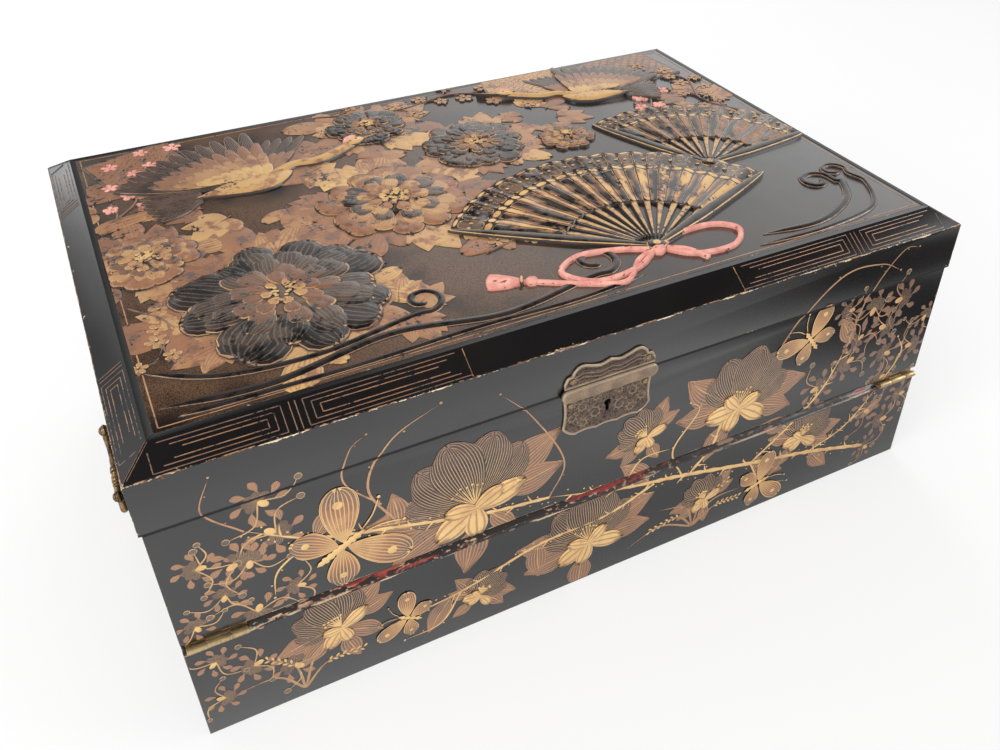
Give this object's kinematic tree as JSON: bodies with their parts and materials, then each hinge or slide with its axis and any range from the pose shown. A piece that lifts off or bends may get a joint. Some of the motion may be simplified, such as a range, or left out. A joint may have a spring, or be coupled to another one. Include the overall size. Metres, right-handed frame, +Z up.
{
  "type": "lacquer writing box",
  "caption": "Low black lacquer writing box with a bevelled hinged lid, a drop front, a link lock, drop handles and a fitted sloping writing interior.",
  "frame": {"origin": "centre of the case's underside, on the surface that the box stands on", "axes": "+X to the box's right seen from the front, +Y to the back where the lid is hinged, +Z up; the lock faces -Y"},
  "size_m": [0.4598, 0.3, 0.1739],
  "materials": {
    "black_lacquer": "polished black lacquer over wood, with gold and copper sprinkled pictures",
    "inside_lacquer": "satin dark lacquer with sprinkled gold flakes",
    "writing_cloth": "wooden board covered with worn dark red cloth",
    "gold_brass": "bright rubbed brass",
    "aged_brass": "dark aged brass, engraved on the lock plates",
    "lock_steel": "dull grey iron",
    "ink_glass": "thick clear glass"
  },
  "bodies": {
    "case": {"case_bottom": "black_lacquer", "case_front_wall": "black_lacquer", "case_back_wall": "black_lacquer", "case_left_wall": "black_lacquer", "case_right_wall": "black_lacquer", "writing_board": "writing_cloth", "toe_rail": "inside_lacquer", "ledger_left": "inside_lacquer", "ledger_right": "inside_lacquer", "partition": "inside_lacquer", "divider_left": "inside_lacquer", "divider_right": "inside_lacquer", "ink_bay_floor_left": "inside_lacquer", "ink_bay_floor_right": "inside_lacquer", "tray_cleat_left": "inside_lacquer", "tray_cleat_right": "inside_lacquer", "pen_tray": "inside_lacquer", "ink_well_left": "ink_glass", "ink_well_right": "ink_glass", "ink_well_cap_left": "aged_brass", "ink_well_cap_right": "aged_brass", "handle_post_left_front": "aged_brass", "handle_post_left_back": "aged_brass", "handle_post_right_front": "aged_brass", "handle_post_right_back": "aged_brass", "fall_hinge_left_fixed_leaf": "gold_brass", "fall_hinge_left_pin": "gold_brass", "fall_hinge_right_fixed_leaf": "gold_brass", "fall_hinge_right_pin": "gold_brass", "lid_hinge_left_fixed_leaf": "gold_brass", "lid_hinge_left_pin": "gold_brass", "lid_hinge_right_fixed_leaf": "gold_brass", "lid_hinge_right_pin": "gold_brass"},
    "lid": {"lid_front_rail": "black_lacquer", "lid_back_rail": "black_lacquer", "lid_left_rail": "black_lacquer", "lid_right_rail": "black_lacquer", "lid_lining": "inside_lacquer", "lid_top_panel": "black_lacquer", "lid_bevel_front": "black_lacquer", "lid_bevel_back": "black_lacquer", "lid_bevel_left": "black_lacquer", "lid_bevel_right": "black_lacquer", "lid_hinge_left_moving_leaf": "gold_brass", "lid_hinge_right_moving_leaf": "gold_brass", "lock_link": "gold_brass", "lock_plate_upper": "aged_brass", "lock_nail_upper_left": "aged_brass", "lock_nail_upper_right": "aged_brass"},
    "fall": {"fall_panel": "black_lacquer", "fall_hinge_left_moving_leaf": "gold_brass", "fall_hinge_right_moving_leaf": "gold_brass", "lock_case": "lock_steel", "lock_plate_lower": "aged_brass", "lock_nail_lower_left": "aged_brass", "lock_nail_lower_right": "aged_brass"},
    "bolt": {"lock_bolt": "lock_steel"},
    "left_handle": {"bail_left": "aged_brass"},
    "right_handle": {"bail_right": "aged_brass"}
  },
  "joints": [
    {"name": "lid_hinge", "type": "hinge", "parent": "case", "child": "lid", "pos_m": [0, 0.1482, 0.1387], "axis": [-1, 0, 0], "range_deg": [0, 105]},
    {"name": "fall_hinge", "type": "hinge", "parent": "case", "child": "fall", "pos_m": [0, -0.1472, 0.064], "axis": [1, 0, 0], "range_deg": [0, 140]},
    {"name": "lock_bolt_slide", "type": "slide", "parent": "fall", "child": "bolt", "axis": [1, 0, 0], "range_m": [0, 0.008]},
    {"name": "left_handle_swing", "type": "hinge", "parent": "case", "child": "left_handle", "pos_m": [-0.2262, 0, 0.057], "axis": [0, 1, 0], "range_deg": [-28, 205]},
    {"name": "right_handle_swing", "type": "hinge", "parent": "case", "child": "right_handle", "pos_m": [0.2262, 0, 0.057], "axis": [0, -1, 0], "range_deg": [-28, 205]}
  ]
}
